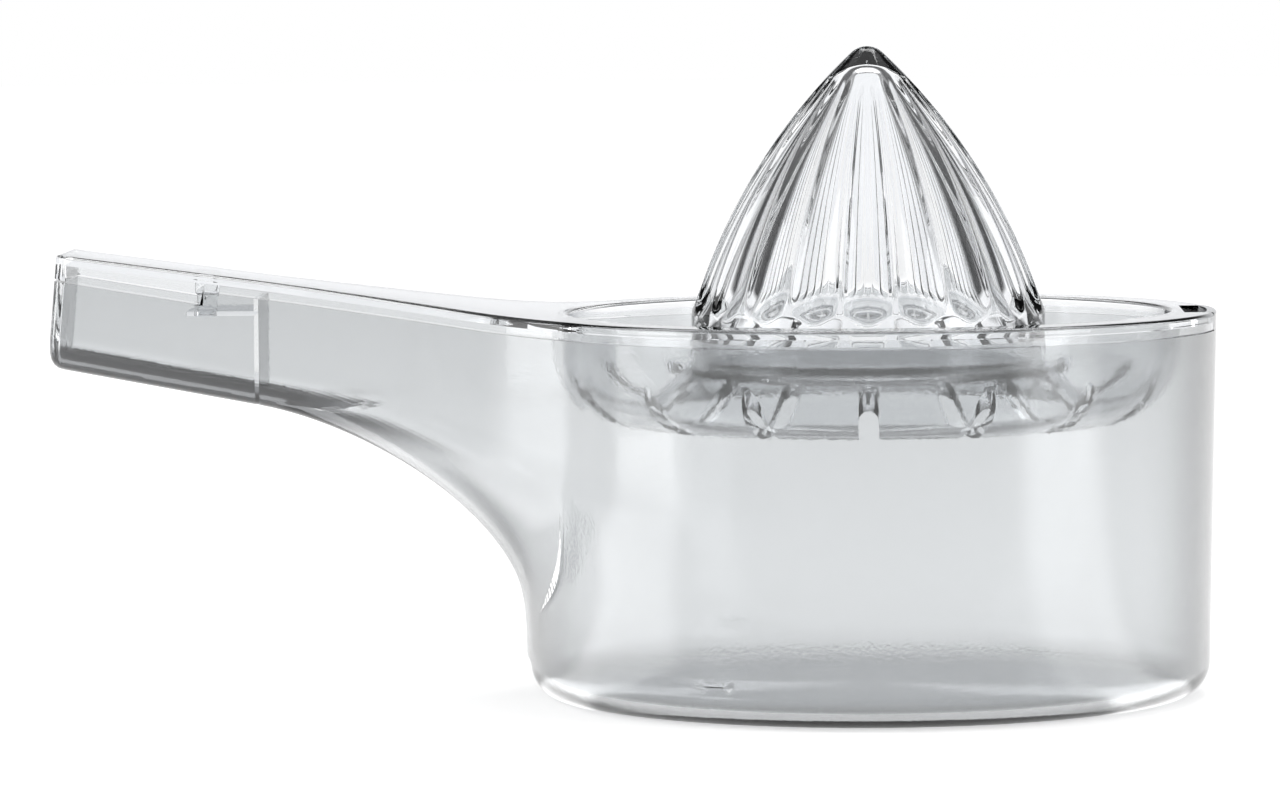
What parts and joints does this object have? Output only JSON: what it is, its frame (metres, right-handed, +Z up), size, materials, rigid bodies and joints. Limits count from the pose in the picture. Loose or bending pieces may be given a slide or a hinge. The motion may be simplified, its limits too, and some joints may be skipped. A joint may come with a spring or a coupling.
{
  "type": "citrus juicer",
  "caption": "Clear plastic citrus juicer: a low round jug with a long handle, a slotted strainer lid with a cover over the handle, and a ribbed reamer cone.",
  "frame": {"origin": "on the jug's axis, in the plane it stands on", "axes": "+Z up along the jug's axis, +X from the handle towards the pouring lip, +Y to the left of someone who looks along +X"},
  "size_m": [0.2344, 0.14, 0.1303],
  "materials": {
    "jug_plastic": "satin, see-through",
    "lid_plastic": "polished, clear",
    "cone_plastic": "polished, clear"
  },
  "bodies": {
    "jug": {"jug": "jug_plastic"},
    "lid": {"strainer_lid": "lid_plastic"},
    "cone": {"reamer_cone": "cone_plastic"}
  },
  "joints": [
    {"name": "lid_lift", "type": "slide", "parent": "jug", "child": "lid", "axis": [0, 0, 1], "range_m": [0, 0.06]},
    {"name": "cone_lift", "type": "slide", "parent": "lid", "child": "cone", "axis": [0, 0, 1], "range_m": [0, 0.05]}
  ]
}
